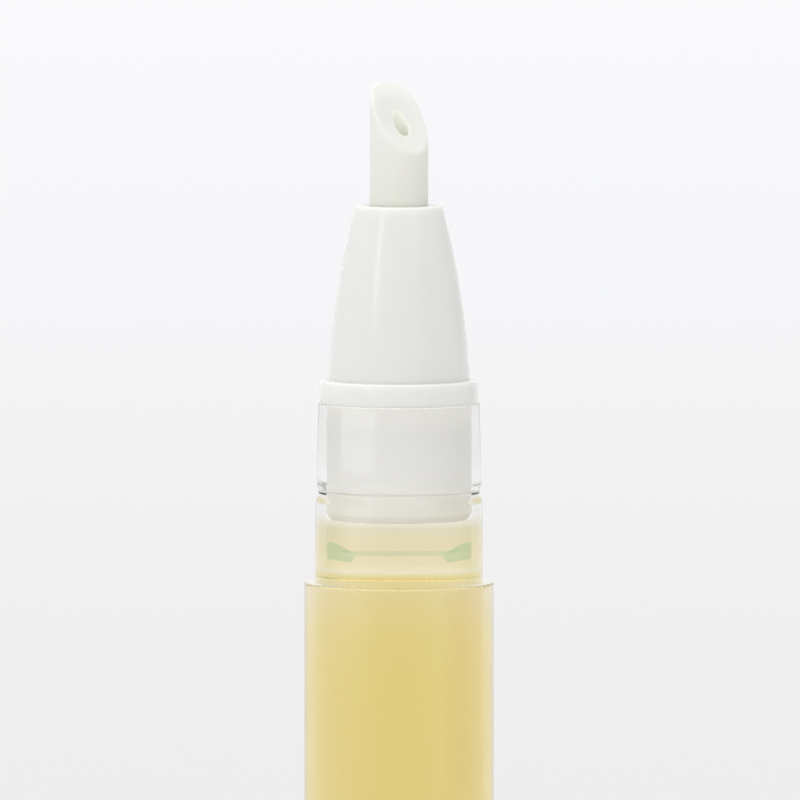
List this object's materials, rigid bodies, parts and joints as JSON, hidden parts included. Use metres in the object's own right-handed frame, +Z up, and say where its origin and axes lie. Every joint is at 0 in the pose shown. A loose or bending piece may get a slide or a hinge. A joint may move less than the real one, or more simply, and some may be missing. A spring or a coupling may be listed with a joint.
{
  "type": "nail oil pen",
  "caption": "Nail oil pen: slanted soft applicator in a tapered nose, clear thick-walled barrel of yellow oil, turning tail knob with screw drive, and a pull-off cap.",
  "frame": {"origin": "centre of the pen's flat tail face, on the surface that it stands on", "axes": "+Z up along the pen's axis towards the tip; -Y towards the camera of the picture; +X to its right, where the cap stands"},
  "size_m": [0.0326, 0.0175, 0.1304],
  "materials": {
    "soft_tip": "matt soft elastomer",
    "milky_plastic": "milky translucent polypropylene",
    "white_plastic": "moulded satin",
    "clear_plastic": "clear polished",
    "oil": "clear yellow liquid",
    "piston_plastic": "soft moulded",
    "ring_rubber": "moulded",
    "knob_plastic": "satin gloss"
  },
  "bodies": {
    "barrel": {"barrel_tube": "clear_plastic", "nose_cone": "milky_plastic", "applicator_tip": "soft_tip", "feed_tube": "white_plastic", "tip_support": "white_plastic", "oil_column": "oil", "oil_in_neck": "oil", "thread_nut": "white_plastic", "ratchet_ring": "white_plastic", "retaining_ring": "white_plastic"},
    "knob": {"tail_knob": "knob_plastic", "end_plug": "knob_plastic", "drive_sleeve": "white_plastic", "o_ring": "ring_rubber"},
    "rod": {"screw_rod": "white_plastic"},
    "piston": {"piston": "piston_plastic"},
    "cap": {"cap_shell": "milky_plastic", "cap_liner": "white_plastic"}
  },
  "joints": [
    {"name": "knob_turn", "type": "hinge", "parent": "barrel", "child": "knob", "pos_m": [0, 0, 0.024], "axis": [0, 0, 1], "range_deg": [0, 5760]},
    {"name": "rod_advance", "type": "slide", "parent": "knob", "child": "rod", "axis": [0, 0, 1], "range_m": [0, 0.04]},
    {"name": "piston_advance", "type": "slide", "parent": "barrel", "child": "piston", "axis": [0, 0, 1], "range_m": [0, 0.04], "deforming": ["oil_column"]},
    {"name": "cap_lift", "type": "slide", "parent": "barrel", "child": "cap", "axis": [0, 0, 1], "range_m": [0, 0.06]}
  ],
  "couplings": [
    {"joint": "knob_turn", "follows": "rod_advance", "rad_per_m": 2513.3},
    {"joint": "piston_advance", "follows": "rod_advance", "ratio": 1}
  ]
}
